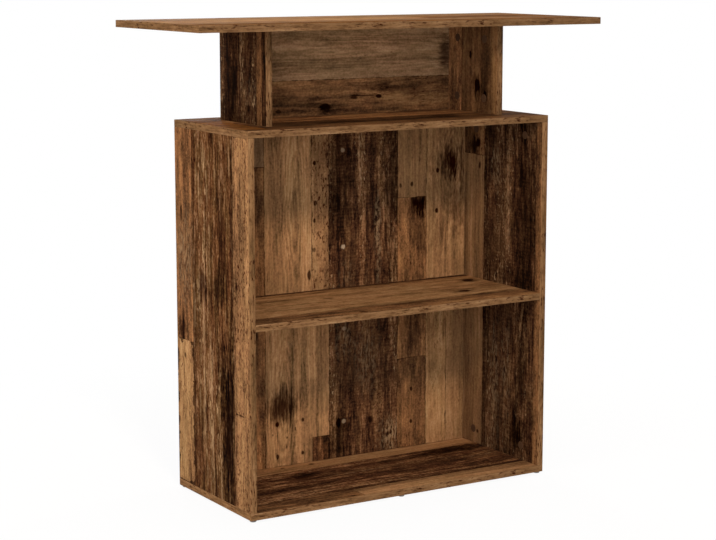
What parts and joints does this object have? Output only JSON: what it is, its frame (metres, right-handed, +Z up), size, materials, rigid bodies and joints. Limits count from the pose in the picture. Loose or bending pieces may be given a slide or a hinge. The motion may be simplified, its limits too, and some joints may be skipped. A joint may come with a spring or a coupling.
{
  "type": "reception desk",
  "caption": "Standing-height reception desk: an open cabinet with a shelf, a narrower riser on it and a wide overhanging counter, in printed reclaimed-plank chipboard.",
  "frame": {"origin": "on the floor under the middle of the counter", "axes": "+Z up, +X along the counter, to the right of someone who looks into the open side, +Y from the open working side to the closed visitor's side"},
  "size_m": [1, 0.39, 1.035],
  "materials": {
    "plank_decor": "chipboard with a printed, satin melamine face of weathered reclaimed planks",
    "beech": "plain turned beech",
    "zinc_plated_steel": "bright zinc plate",
    "die_cast_zinc": "die-cast zinc alloy, as cast",
    "cover_plastic": "thin plastic disc with the print of the boards",
    "glide_plastic": "moulded grey plastic"
  },
  "bodies": {
    "root": {"countertop": "plank_decor", "riser_left_side": "plank_decor", "riser_right_side": "plank_decor", "riser_back": "plank_decor", "cabinet_top": "plank_decor", "left_side": "plank_decor", "right_side": "plank_decor", "shelf": "plank_decor", "bottom_panel": "plank_decor", "back_panel": "plank_decor", "counter_dowels": "beech", "riser_dowels": "beech", "riser_back_dowels": "beech", "cabinet_top_dowels": "beech", "shelf_dowels": "beech", "bottom_dowels": "beech", "back_panel_dowels": "beech", "counter_cam_bolts": "zinc_plated_steel", "riser_cam_bolts": "zinc_plated_steel", "cabinet_top_cam_bolts": "zinc_plated_steel", "shelf_cam_bolts": "zinc_plated_steel", "bottom_cam_bolts": "zinc_plated_steel", "glide_nails": "zinc_plated_steel", "counter_cam_nuts": "die_cast_zinc", "riser_cam_nuts": "die_cast_zinc", "cabinet_top_cam_nuts": "die_cast_zinc", "shelf_cam_nuts": "die_cast_zinc", "bottom_cam_nuts": "die_cast_zinc", "riser_cam_covers": "cover_plastic", "side_cam_covers": "cover_plastic", "shelf_cam_covers": "cover_plastic", "glides": "glide_plastic"}
  },
  "joints": []
}
